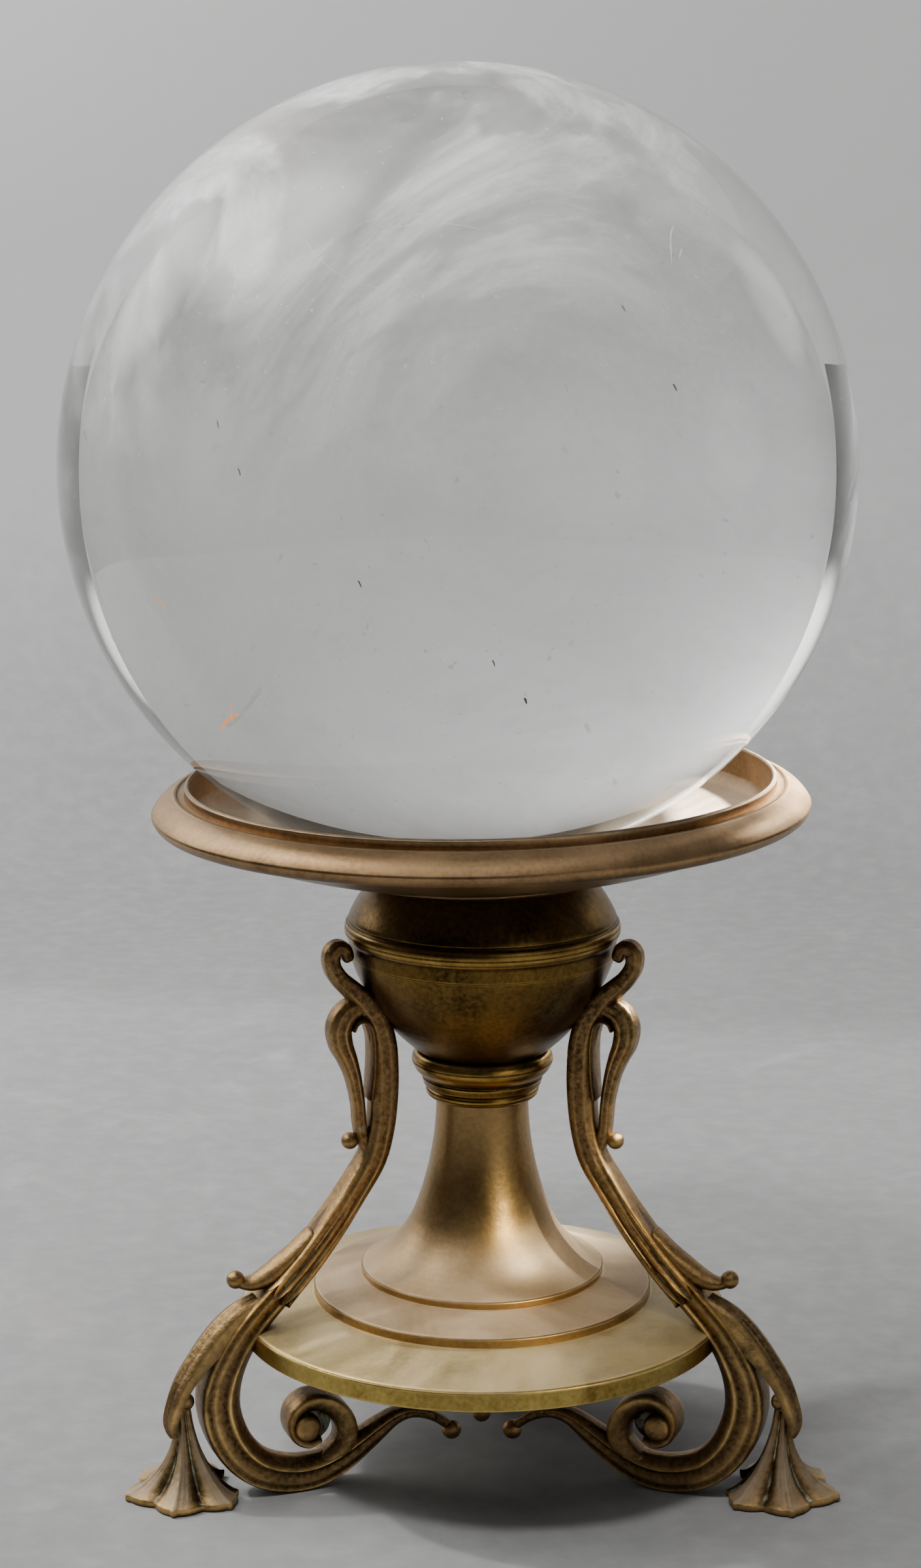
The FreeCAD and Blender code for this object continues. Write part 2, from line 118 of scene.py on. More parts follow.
def rgb(r, g, b):
    return (r, g, b, 1.0)


GRIME_AND_SHADE = rgb(0.014, 0.009, 0.005)
UNDERSIDE_SHADE = rgb(0.02, 0.012, 0.006)
VERDIGRIS = rgb(0.50, 0.53, 0.36)


def bronze(name, dark, mid, bright, dust, dust_amount, verdigris, rough, grain, rings=0.0):
    """Old brass or bronze: brown patina, worn bright on edges, dark grime with painted shade and green in the
    hollows, dust on top.

    Faces that look down are darkened with painted shade. Where a point's grime and shade value is below 0,
    dust has settled instead.
    """
    n = Nodes(name)
    cloud = n.noise(28, 7, 0.62, distortion=0.6)
    spots = n.noise(140, 5, 0.7)
    fine = n.noise(620, 3, 0.6)
    colour = n.mix(n.ramp(cloud, 0.36, 0.64), rgb(*dark), rgb(*mid))
    colour = n.mix(n.ramp(spots, 0.52, 0.7, 0.0, 0.45), colour, rgb(*dark))
    colour = n.mix(n.ramp(fine, 0.35, 0.7, 0.0, 0.25), colour, rgb(*bright))
    wear = n.math("MULTIPLY", n.attribute("wear"), n.ramp(spots, 0.3, 0.62, 0.25, 1.0))
    colour = n.mix(wear, colour, rgb(*bright))
    # dark grime with painted shade in the hollows, nearly black where it is deepest
    grime_and_shade = n.attribute("grime_and_shade")
    colour = n.mix(n.ramp(grime_and_shade, 0.0, 1.0, 0.0, 0.78), colour, GRIME_AND_SHADE)
    # painted shade: faces that look down are darkened
    under = n.ramp(n.facing_up(), -0.15, -0.85, 0.0, 0.8)
    colour = n.mix(under, colour, UNDERSIDE_SHADE)
    patchy = n.math("MULTIPLY", n.ramp(n.noise(95, 7, 0.72, distortion=0.8), 0.43, 0.62), verdigris)
    green = n.math("MULTIPLY", n.ramp(grime_and_shade, 0.75, 1.6), patchy)
    stray = n.math("MULTIPLY", n.ramp(n.noise(46, 8, 0.75), 0.66, 0.78, 0.0, 0.5), verdigris)
    green = n.math("MAXIMUM", green, stray)
    colour = n.mix(green, colour, VERDIGRIS)
    top = n.math("MULTIPLY", n.ramp(n.facing_up(), 0.25, 0.95),
                 n.ramp(n.noise(17, 8, 0.65, distortion=1.2), 0.3, 0.66, 0.3, 1.0))
    top = n.math("MULTIPLY", top, dust_amount)
    settled = n.math("MULTIPLY", n.ramp(grime_and_shade, 0.0, -1.0),
                     n.ramp(n.noise(120, 7, 0.7), 0.3, 0.6, 0.35, 1.0))
    top = n.math("MAXIMUM", top, settled)
    colour = n.mix(top, colour, rgb(*dust))
    cover = n.math("ADD", n.math("MULTIPLY", top, 0.75), n.math("MULTIPLY", green, 0.9))
    roughness = n.ramp(cloud, 0.3, 0.7, rough[0], rough[1])
    roughness = n.math("ADD", roughness, n.math("MULTIPLY", cover, 0.35))
    normal = n.bump(n.noise(420, 6, 0.7), grain, 0.0004)
    normal = n.bump(n.noise(70, 4, 0.6), grain * 0.6, 0.0012, normal)
    if rings:
        turned = n.node("ShaderNodeTexWave", Scale=160.0, Distortion=1.5, Detail=3.0)
        turned.wave_type = "RINGS"
        turned.rings_direction = "Z"
        n.feed(turned.inputs["Vector"], n.place)
        normal = n.bump(turned.outputs["Fac"], rings, 0.0002, normal)
    metallic = n.ramp(cover, 0.0, 1.0, 1.0, 0.15)
    return n.set(Base_Color=colour, Metallic=metallic, Roughness=roughness, Normal=normal)


TAN_DUST = (0.40, 0.31, 0.20)
leg_metal = bronze("cast_bronze", (0.030, 0.015, 0.008), (0.175, 0.093, 0.042), (0.95, 0.62, 0.24),
                   (0.34, 0.26, 0.17), 0.16, 1.0, rough=(0.26, 0.42), grain=0.8)
knop_metal = bronze("knop_bronze", (0.035, 0.019, 0.005), (0.180, 0.100, 0.024), (0.55, 0.34, 0.09),
                    TAN_DUST, 0.12, 0.3, rough=(0.24, 0.4), grain=0.18, rings=0.05)
stem_metal = bronze("stem_brass", (0.27, 0.17, 0.07), (0.34, 0.215, 0.09), (0.66, 0.45, 0.18),
                    (0.56, 0.42, 0.28), 0.9, 0.2, rough=(0.28, 0.42), grain=0.2, rings=0.06)
plate_metal = bronze("plate_brass", (0.17, 0.11, 0.022), (0.46, 0.34, 0.09), (0.90, 0.64, 0.20),
                     (0.60, 0.475, 0.28), 0.95, 0.5, rough=(0.24, 0.4), grain=0.2, rings=0.06)
dish_metal = bronze("dish_bronze", (0.20, 0.115, 0.05), (0.44, 0.27, 0.13), (0.72, 0.50, 0.26),
                    (0.47, 0.33, 0.20), 0.4, 0.15, rough=(0.28, 0.44), grain=0.2, rings=0.05)
pan_metal = bronze("pan_bronze", (0.22, 0.125, 0.055), (0.46, 0.285, 0.14), (0.72, 0.50, 0.26),
                   (0.62, 0.52, 0.40), 0.9, 0.15, rough=(0.28, 0.44), grain=0.2, rings=0.05)


def steel():
    n = Nodes("plain_steel")
    tone = n.noise(60, 6, 0.6)
    return n.set(Base_Color=n.mix(tone, rgb(0.30, 0.29, 0.27), rgb(0.55, 0.54, 0.52)), Metallic=1.0,
                 Roughness=n.ramp(tone, 0.3, 0.7, 0.3, 0.5), Normal=n.bump(n.noise(900, 3, 0.6), 0.2, 0.0002))


def felt():
    n = Nodes("dark_felt")
    fibre = n.noise(1500, 6, 0.8, distortion=2.0)
    return n.set(Base_Color=n.mix(fibre, rgb(0.10, 0.085, 0.06), rgb(0.26, 0.22, 0.16)), Roughness=0.95,
                 Sheen_Weight=0.4, Normal=n.bump(fibre, 0.8, 0.0008))


def crystal():
    """Clear glass with dust and wipe marks, thickest over the top, and fine specks."""
    n = Nodes("clear_crystal")
    height = n.upward(n.place)
    wiped = n.ramp(n.noise(8, 9, 0.62, distortion=2.4), 0.38, 0.66)
    edged = n.ramp(n.noise(9, 3, 0.5, distortion=3.0), 0.45, 0.53, 0.3, 1.0)
    streaks = n.ramp(n.noise(30, 8, 0.75, distortion=1.0), 0.3, 0.7, 0.6, 1.0)
    cap = n.ramp(height, 0.345, 0.45)
    film = n.math("MULTIPLY", n.math("MULTIPLY", cap, edged), n.math("MULTIPLY", wiped, streaks))
    film = n.math("ADD", film, n.math("MULTIPLY", n.math("MULTIPLY", wiped, edged), 0.18))
    film = n.math("ADD", film, n.ramp(n.noise(600, 2, 0.5), 0.70, 0.75, 0.0, 0.3))
    film = n.math("ADD", film, 0.012)
    return n.set(Base_Color=rgb(0.985, 0.995, 0.982), Metallic=0.0, IOR=1.5,
                 Roughness=n.ramp(film, 0.02, 0.3, 0.0, 0.09),
                 Transmission_Weight=n.math("SUBTRACT", 1.0, film))


def plain_speck(name, colour, painted_glow):
    """A flaw in the glass, given a painted glow that stands for the light it catches inside the ball."""
    n = Nodes(name)
    mottled = n.mix(n.noise(800, 3, 0.6), rgb(*colour), rgb(*(c * 0.5 for c in colour)))
    return n.set(Base_Color=mottled, Roughness=0.5, Emission_Color=rgb(*colour), Emission_Strength=painted_glow)


steel_metal, felt_cloth, glass = steel(), felt(), crystal()


# ---------------------------------------------------------------- mesh building
class Shell:
    """Collects surfaces of one piece, with how worn each point is and how much dark grime and painted shade
    it gets.
    """

    def __init__(self):
        self.points, self.faces, self.wear, self.grime_and_shade = [], [], [], []

    def grid(self, rows, wrap=True, join_ends=False):
        """Rows of (x, y, z, wear, grime with painted shade); neighbours are joined, and each row closes on
        itself if wrap.
        """
        first, width = len(self.points), len(rows[0])
        for row in rows:
            for x, y, z, wear, grime_and_shade in row:
                self.points.append((x * MM, y * MM, z * MM))
                self.wear.append(wear)
                self.grime_and_shade.append(grime_and_shade)
        across = width if wrap else width - 1
        down = len(rows) if join_ends else len(rows) - 1
        for i in range(down):
            a, b = first + i * width, first + ((i + 1) % len(rows)) * width
            for j in range(across):
                k = (j + 1) % width
                self.faces.append((a + j, a + k, b + k, b + j))
        if wrap and not join_ends:
            self.faces.append(tuple(reversed(range(first, first + width))))
            end = first + (len(rows) - 1) * width
            self.faces.append(tuple(range(end, end + width)))

    def ball(self, x, y, z, radius, squash=(1, 1, 1), wear=0.35, grime_and_shade=0.0, steps=18):
        rows = []
        for i in range(1, steps):
            tilt = math.pi * i / steps
            rows.append([(x + radius * squash[0] * math.sin(tilt) * math.cos(a),
                          y + radius * squash[1] * math.sin(tilt) * math.sin(a),
                          z + radius * squash[2] * math.cos(tilt), wear, grime_and_shade)
                         for a in (2 * math.pi * j / (steps * 2) for j in range(steps * 2))])
        self.grid(rows)

    def build(self, name, material, body, slot, sharp=38):
        """Edges that fold by more than sharp degrees stay crisp; all others are shaded smooth."""
        mesh = bpy.data.meshes.new(name)
        mesh.from_pydata(self.points, [], self.faces)
        for layer, values in (("wear", self.wear), ("grime_and_shade", self.grime_and_shade)):
            mesh.attributes.new(layer, "FLOAT", "POINT").data.foreach_set("value", values)
        work = bmesh.new()
        work.from_mesh(mesh)
        bmesh.ops.remove_doubles(work, verts=work.verts, dist=WELD)
        bmesh.ops.recalc_face_normals(work, faces=work.faces)
        for face in work.faces:
            face.smooth = True
        for edge in work.edges:
            if len(edge.link_faces) == 2 and edge.calc_face_angle(0) > math.radians(sharp):
                edge.smooth = False
        work.to_mesh(mesh)
        work.free()
        mesh.materials.append(material)
        return place(name, mesh, body)


def place(name, mesh, body):
    thing = bpy.data.objects.new(name, mesh)
    bpy.context.scene.collection.objects.link(thing)
    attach(thing, body)
    return thing


def arc_points(a, b, radius, turn, count=14):
    """Points strictly between a and b on an arc; turn +1 bends it counter-clockwise."""
    half = math.dist(a, b) / 2
    rise = math.sqrt(max(radius ** 2 - half ** 2, 0))
    cx = (a[0] + b[0]) / 2 - turn * rise * (b[1] - a[1]) / (2 * half)
    cy = (a[1] + b[1]) / 2 + turn * rise * (b[0] - a[0]) / (2 * half)
    first, last = math.atan2(a[1] - cy, a[0] - cx), math.atan2(b[1] - cy, b[0] - cx)
    if turn > 0 and last < first:
        last += 2 * math.pi
    if turn < 0 and last > first:
        last -= 2 * math.pi
    return [(cx + radius * math.cos(first + (last - first) * i / count),
             cy + radius * math.sin(first + (last - first) * i / count)) for i in range(1, count)]


NEIGHBOUR_SHARE = 0.45  # the most of a neighbouring edge that a fillet may use
FILLET_STEPS = 5
SMALL_FILLET = 0.12  # below this a fillet gets no plain point beside it
PLAIN_MARGIN = 0.35  # how far beside a fillet its wear or grime has faded


def rounded(corners):
    """Turns (r, z, fillet[, radius, turn]) corners into (r, z, wear, grime with painted shade) points.

    Corners are eased by their fillet, and the two extra numbers put an arc between a corner and the next.
    """
    points = []
    for i, corner in enumerate(corners):
        after = corners[(i + 1) % len(corners)]
        points.append((corner[0], corner[1], corner[2]))
        if len(corner) == 5:
            points += [(x, y, 0.0) for x, y in arc_points(corner[:2], after[:2], corner[3], corner[4])]
    area = sum(points[i - 1][0] * points[i][1] - points[i][0] * points[i - 1][1]
               for i in range(len(points)))
    result = []
    for i, (x, y, fillet) in enumerate(points):
        before, after = points[i - 1], points[(i + 1) % len(points)]
        if fillet <= 0:
            result.append((x, y, 0.0, 0.0))
            continue
        into = Vector((before[0] - x, before[1] - y))
        out = Vector((after[0] - x, after[1] - y))
        corner_cross = into.x * out.y - into.y * out.x
        convex = (corner_cross < 0) == (area > 0)
        reach = min(fillet, into.length * NEIGHBOUR_SHARE, out.length * NEIGHBOUR_SHARE)
        into.normalize()
        out.normalize()
        a, b = Vector((x, y)) + into * reach, Vector((x, y)) + out * reach
        mid = Vector((x, y))
        # outer corners are worn bright; inner corners get dark grime with painted shade
        wear, grime_and_shade = (0.9, 0.0) if convex else (0.0, 0.8)
        if reach > SMALL_FILLET:
            result.append((*(a + into * min(PLAIN_MARGIN, reach)), 0.0, 0.0))
        for step in range(FILLET_STEPS + 1):
            t = step / FILLET_STEPS
            spot = a * (1 - t) ** 2 + mid * 2 * t * (1 - t) + b * t ** 2
            ease = math.sin(math.pi * (0.15 + 0.7 * t))
            result.append((*spot, wear * ease, grime_and_shade * ease))
        if reach > SMALL_FILLET:
            result.append((*(b + out * min(PLAIN_MARGIN, reach)), 0.0, 0.0))
    return result


PLAIN = Matrix.Identity(4)


def lathe(name, corners, material, slot, stands_for, body="stand", move=PLAIN, segments=224):
    """A turned piece from its half section, shown in place of the CAD node it stands for."""
    shell = Shell()
    profile = rounded(corners)
    rows = []
    for r, z, wear, grime_and_shade in profile:
        row = []
        for j in range(segments):
            a = 2 * math.pi * j / segments
            at = move @ Vector((r * math.cos(a), r * math.sin(a), z))
            row.append((at.x, at.y, at.z, wear, grime_and_shade))
        rows.append(row)
    shell.grid(rows, join_ends=True)
    made = shell.build(name, material, body, slot)
    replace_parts(made, stands_for)
    return made


# ---------------------------------------------------------------- turned pieces, sizes in millimetres
HOLE = 4.3  # radius of the bore for the central rod
lathe("foot_plate", [
    (HOLE, 61.6, 0), (56.3, 61.6, 0.6), (80.2, 57.05, 0.5), (81, 56.2, 0.4), (81, 50.1, 0.5),
    (78.6, 50.1, 0.4),
    (78.6, 54.6, 0.6), (56.3, 59.2, 0),
    (HOLE, 59.2, 0)], plate_metal, "turned_brass", stands_for="base_plate")
lathe("middle_plate", [
    (HOLE, 68.6, 0), (40.5, 68.6, 0.5), (55.7, 64.75, 0.4), (56.3, 64.2, 0.3), (56.3, 61.62, 0.2),
    (53.9, 61.62, 0.2),
    (53.9, 63, 0.4), (40.5, 66.2, 0), (HOLE, 66.2, 0)], stem_metal, "turned_brass", stands_for="step_disc")
lathe("stem_column", [
    (40.3, 68.62, 0.2), (40.5, 70.5, 0.4), (39.9, 71.05, 0.3), (38.5, 71.7, 0, 34, -1),
    (22.4, 90, 0, 110, -1),
    (15.3, 125, 0), (15.3, 129.15, 0.3), (13.1, 129.15, 0.2), (13.1, 125, 0, 112, 1), (20.2, 90, 0, 36, 1),
    (35.5, 68.62, 0.2)], stem_metal, "turned_brass", stands_for="stem")
lathe("neck_bead", [
    (HOLE, 129.2, 0), (17.4, 129.2, 0.3), (18.3, 129.9, 0.5), (18.8, 131.1, 0.9), (18.3, 132.3, 0.5),
    (17.5, 133, 0.3),
    (HOLE, 133, 0)], knop_metal, "turned_brass", stands_for="neck_ring")
lathe("collar_roll", [
    (HOLE, 133.02, 0), (19.3, 133.02, 0.4), (20, 135.4, 0.5), (19.7, 136.2, 0.5), (22.0, 138.2, 1.0),
    (23.3, 140.6, 1.2), (23.4, 142.4, 1.0), (22.2, 144.7, 0.8), (HOLE, 145, 0)],
    knop_metal, "turned_brass", stands_for="collar_ring")
lathe("knop_lower", [
    (HOLE, 145.02, 0), (21.4, 145.02, 0.5), (22.4, 145.9, 0, 62, 1), (43.5, 177.4, 0),
    (43.6, 177.96, 0.25), (41.8, 177.96, 0.2),
    (41.6, 177, 0, 59, -1), (20.8, 146.8, 0),
    (HOLE, 146.8, 0)], knop_metal, "antique_bronze", stands_for="knop_bowl")
lathe("knop_belt", [
    (42.1, 178.02, 0.1), (43.9, 178.02, 0.3), (43.9, 182.6, 0.5), (44.5, 183.4, 0.5), (45.2, 184.9, 0.8),
    (45.3, 186.4, 0.9), (45.0, 188.1, 0.8), (44.2, 189.1, 0.5), (43.9, 189.95, 0.2), (42.1, 189.95, 0.1)],
    knop_metal, "antique_bronze", stands_for="knop_band")
lathe("knop_upper", [
    (43.9, 190.02, 0.1), (43.85, 190.4, 0, 48, 1), (35, 203.6, 0.5), (13.6, 203.6, 0.2), (13.6, 202, 0.2),
    (33.6, 202, 0, 46.3, -1), (42.1, 190.02, 0.1)], knop_metal, "antique_bronze", stands_for="knop_dome")

LEAN = math.radians(-1.15)  # the dish and the pad lean to the left
LEVEL = 199.0  # the height on the stand's axis of the point that the dish leans about
leant = (Matrix.Translation((0, 0, LEVEL)) @ Matrix.Rotation(LEAN, 4, "Y")
         @ Matrix.Translation((0, 0, -LEVEL)))
lathe("dish_foot_ring", [
    (0, 205.9, 0), (29.3, 205.9, 0), (29.3, 208.28, 0.2), (49.6, 208.28, 0.3), (50, 207.8, 0.3),
    (49.6, 207.1, 0.4),
    (34.5, 207.1, 0.3), (34.5, 204.4, 0.3), (12, 204.4, 0.2), (12, 193, 0.3), (HOLE, 193, 0.2),
    (HOLE, 203.5, 0),
    (0, 203.5, 0)], dish_metal, "dish_bronze", stands_for="dish_flange", move=leant)
lathe("dish_bowl", [
    (0, 205.92, 0), (29, 205.92, 0.4), (29, 208.3, 0.3), (49.6, 208.3, 0, 240, 1), (95.98, 222, 0.4),
    (95.98, 236.2, 0.4),
    (95.4, 236.8, 0.3), (94.8, 236.8, 0.3), (94.4, 236.3, 0.4), (94.4, 227, 0, 9, -1),
    (91.4, 222.9, 0, 238, -1),
    (49, 209.9, 0.8), (27.4, 209.9, 0.7), (27.4, 207.5, 0.7), (0, 207.5, 0)],
    pan_metal, "dish_bronze", stands_for="dish_pan", move=leant, segments=288)
lathe("dish_roll", [
    (96.02, 222, 0.2), (103.4, 223.9, 0, 3.9, 1), (106.9, 227.6, 0, 13, 1), (99.6, 234.0, 0.5),
    (98.9, 234.25, 0.4),
    (98.3, 233.5, 0.4),
    (96.02, 233.4, 0.1)], dish_metal, "dish_bronze", stands_for="dish_rim", move=leant, segments=288)


# ---------------------------------------------------------------- legs
def smooth_path(points, steps):
    """A smooth run through points of any length, steps pieces between each two."""
    out = []
    last = len(points) - 1
    for i in range(last):
        p0, p1, p2, p3 = points[max(i - 1, 0)], points[i], points[i + 1], points[min(i + 2, last)]
        for s in range(steps):
            t = s / steps
            out.append(tuple(0.5 * (2 * b + (c - a) * t + (2 * a - 5 * b + 4 * c - d) * t * t
                                    + (3 * b - a - 3 * c + d) * t ** 3)
                             for a, b, c, d in zip(p0, p1, p2, p3)))
    out.append(tuple(points[last]))
    return out


# Half section of a cast stroke, outer edge (-1) to inner edge (+1): across, height, wear, grime with painted
# shade.
# The grooves get dark grime with painted shade.
STROKE_SECTION = [
    (-1.0, 0.0, 0.1, 0.0), (-1.02, 0.35, 0.15, 0.0), (-1.0, 0.68, 0.3, 0.0), (-0.95, 0.86, 0.75, 0.0),
    (-0.88, 0.93, 0.8, 0.0), (-0.78, 0.91, 0.2, 0.1), (-0.66, 0.87, 0.0, 0.45), (-0.54, 0.90, 0.2, 0.1),
    (-0.44, 0.95, 0.6, 0.0), (-0.30, 0.955, 0.25, 0.0), (-0.12, 0.93, 0.1, 0.1), (0.04, 0.89, 0.0, 0.35),
    (0.14, 0.87, 0.0, 0.75), (0.21, 0.90, 0.2, 0.3), (0.28, 0.975, 0.9, 0.0), (0.33, 1.0, 1.0, 0.0),
    (0.40, 0.975, 0.8, 0.0), (0.56, 0.83, 0.2, 0.0), (0.74, 0.66, 0.1, 0.1), (0.90, 0.46, 0.15, 0.1),
    (0.98, 0.30, 0.4, 0.0), (1.0, 0.15, 0.3, 0.0), (1.0, 0.0, 0.1, 0.0),
]
# The heights at the same points where the relief has faded to a bevelled band.
PLAIN_HEIGHTS = (0, 0.25, 0.45, 0.52, 0.60, 0.70, 0.81, 0.91, 0.97, 1, 1, 1, 1, 1, 1, 1,
                 0.99, 0.97, 0.93, 0.82, 0.62, 0.3, 0)
ROUND_SECTION = [(-math.cos(math.pi * i / 12), math.sin(math.pi * i / 12), 0.25, 0.0) for i in range(13)]
BAND_SECTION = [
    (-1.0, 0.0, 0.1, 0.0), (-1.0, 0.6, 0.2, 0.0), (-0.9, 0.88, 0.6, 0.0), (-0.6, 1.0, 0.7, 0.0),
    (-0.1, 0.97, 0.3, 0.0),
    (0.5, 0.86, 0.1, 0.1), (0.88, 0.68, 0.2, 0.2), (1.0, 0.45, 0.1, 0.3), (1.0, 0.0, 0.0, 0.2),
]


def around(section):
    """The whole section from its front half."""
    back = [(n, -y, w, g) for n, y, w, g in reversed(section[1:-1])]
    return list(section) + back


def eased(section, relief):
    """The stroke's section, flattened to a bevelled band where the relief is low."""
    if len(section) != len(PLAIN_HEIGHTS):
        return section
    outer_wear = [0.25 * (n < -0.4) for n, y, wear, dirt_and_shade in section]
    return [(n, low + (y - low) * relief, plain + (wear - plain) * relief, dirt_and_shade * relief)
            for (n, y, wear, dirt_and_shade), low, plain in zip(section, PLAIN_HEIGHTS, outer_wear)]


def sweep(shell, stations, section, grime_and_shade=0.0):
    """Runs a section along (x, z, width, thickness[, relief]) in the leg's plane, with rounded ends."""
    rows = []
    count = len(stations)
    for i, station in enumerate(stations):
        x, z, width, thick = station[:4]
        loop = around(eased(section, station[4] if len(station) > 4 else 1.0))
        before, after = stations[max(i - 1, 0)], stations[min(i + 1, count - 1)]
        along = Vector((after[0] - before[0], after[1] - before[1])).normalized()
        row = []
        for n, y, wear, dirt_and_shade in loop:
            across = n * width / 2
            row.append((x + along.y * across, y * thick / 2, z - along.x * across, wear, dirt_and_shade + grime_and_shade))
        rows.append(row)
    caps = []
    for end, near in ((0, 1), (-1, -2)):
        x, z, width, thick = stations[end][:4]
        along = Vector((x - stations[near][0], z - stations[near][1])).normalized()
        size = min(width, thick) / 2
        cap = []
        for t in (0.3, 0.55, 0.75, 0.9, 0.98):
            shrink = math.sqrt(1 - t * t)
            cap.append([(x + along.x * size * t + (px - x) * shrink, py * shrink,
                         z + along.y * size * t + (pz - z) * shrink, w, g) for px, py, pz, w, g in rows[end]])
        caps.append(cap)
    shell.grid(list(reversed(caps[0])) + rows + caps[1])


MAIN = [  # top curl, long S, round the C and out along the tendril: x, z, width, thickness, relief
    (46.9, 180.3, 4.2, 7.4, 0), (48.0, 182.7, 4.6, 7.6, 0), (50.3, 183.4, 4.8, 8.0, 0),
    (52.2, 181.4, 5.2, 8.0, 0),
    (52.0, 177.2, 5.4, 8.2, 0), (49.4, 172.8, 5.9, 8.6, 0), (45.6, 169.0, 6.6, 9.0, 0),
    (41.2, 164.3, 7.6, 9.4, 0),
    (37.3, 158, 8.5, 9.8, 0.1), (35.2, 150, 9.0, 10, 0.15), (34.6, 141, 9.0, 10, 0.15),
    (34.8, 132, 9.0, 10, 0.2),
    (35.8, 122, 8.7, 10.2, 0.3), (38.7, 111.5, 9.0, 10.6, 0.5), (45, 101, 9.2, 11, 0.8),
    (52, 91, 9.5, 11.4, 0.9),
    (61, 79.8, 9.6, 11.8, 1), (71.5, 69, 9.8, 12.2, 1), (81.0, 58.9, 10.6, 12.6, 1), (88, 48.4, 12.0, 13, 1),
    (91.6, 38.2, 13.4, 13.4, 1), (91.4, 28.6, 13.6, 13.6, 1), (87.2, 17.9, 13.2, 13.6, 1),
    (79.6, 9.9, 12.3, 13.4, 1),
    (70, 6.25, 11.6, 12.8, 1), (60.5, 5.9, 10.8, 12, 1), (52, 8.4, 9.7, 10.8, 1), (44.6, 12.4, 8.3, 9.6, 0.8),
    (37.2, 17.0, 6.7, 8.2, 0.6), (32.1, 19.8, 5.3, 7, 0.4), (27.4, 20.9, 4.4, 6.2, 0.2),
    (23.5, 20.5, 3.8, 5.6, 0.1),
    (19.8, 19.2, 3.4, 5.2, 0), (16.3, 17.3, 3.1, 5, 0), (13.2, 14.9, 3.1, 5, 0),
]
LOOP = [
    (39.5, 162.6, 5.2, 7.0, 0), (43.6, 163.0, 6.6, 8.0, 0.1), (47.6, 161.0, 7.6, 8.7, 0.3),
    (49.7, 156.4, 8.0, 8.8, 0.5),
    (49.1, 151.0, 7.5, 8.8, 0.6), (47.1, 146.0, 6.3, 8.3, 0.6), (45.4, 140.8, 5.2, 7.8, 0.5),
    (44.3, 135.5, 4.6, 7.4, 0.4),
    (43.5, 130, 4.2, 7, 0.3), (43.1, 124, 4.1, 7, 0.2), (42.4, 118.5, 3.8, 6.6, 0), (41.0, 114, 2.6, 6, 0),
]
HOOK = [  # the raised inner line that turns over the slit
    (45.2, 155.6, 1.4, 8.2), (44.3, 158.0, 1.9, 9.4), (42.0, 158.8, 2.2, 10.4), (39.8, 156.6, 2.3, 10.8),
    (38.9, 151.5, 2.2, 10.9), (38.8, 145, 2.0, 10.9), (39.2, 138.5, 1.8, 10.8), (39.9, 132.0, 1.4, 10.2),
]
SCROLL = [  # the volute that springs from the C and winds round the eye
    (57.0, 9.6, 3.6, 10.0), (52.6, 11.6, 6.0, 10.6), (49.4, 15.2, 7.0, 11), (49.2, 20.4, 7.2, 11.4),
    (51.8, 25.6, 7.0, 11.8),
    (56.4, 29.0, 6.6, 12), (61.6, 29.9, 6.0, 12), (66.0, 27.4, 5.4, 12), (67.6, 22.8, 4.6, 11.8),
    (66.2, 18.4, 3.9, 11.4),
    (62.4, 16.2, 3.4, 11), (58.8, 16.9, 2.6, 10.4),
]
CURL = [
    (60.5, 88.0, 3.0, 8.0), (65.5, 82.6, 4.8, 8.8), (70.5, 78.0, 6.6, 9.2), (75.2, 74.7, 6.6, 8.6),
    (79.8, 73.1, 5.2, 7.2),
    (83.2, 73.3, 4.1, 5.8), (85.2, 74.6, 3.7, 5.2),
]
LEAF = [
    (78.5, 67.6, 4.0, 8.5), (84.2, 63.2, 7.4, 10), (89.8, 58.6, 8.2, 11), (95.2, 53.6, 6.8, 11.4),
    (100.3, 48.0, 5.0, 11.4),
    (104.5, 42.2, 4.0, 11.2), (107.3, 35.8, 3.6, 10.4), (108.8, 30.0, 3.3, 8.6),
    (108.4, 26.2, 2.7, 6.2), (107.2, 23.4, 1.8, 3.8),
]
TWIG = [(94.0, 54.0, 1.4, 3.0), (98.0, 48.6, 1.7, 3.4), (101.0, 43.0, 1.9, 3.6),
        (103.2, 37.8, 2.2, 3.8), (104.0, 33.0, 3.0, 4.6)]
EYE = [  # the boss at the scroll's centre: height, radius, wear, grime with painted shade (dark at its foot)
    (2.0, 5.0, 0, 1.8), (4.4, 4.9, 0, 1.7), (5.2, 4.4, 0, 1.2), (6.4, 4.3, 0.4, 0),
    (7.2, 3.9, 0.8, 0), (7.7, 3.0, 0.4, 0), (7.9, 1.5, 0.3, 0), (8.0, 0.3, 0.3, 0),
]
FOOT_AT, FOOT_NECK = 99.0, 104.0  # how far out the foot and its neck stand


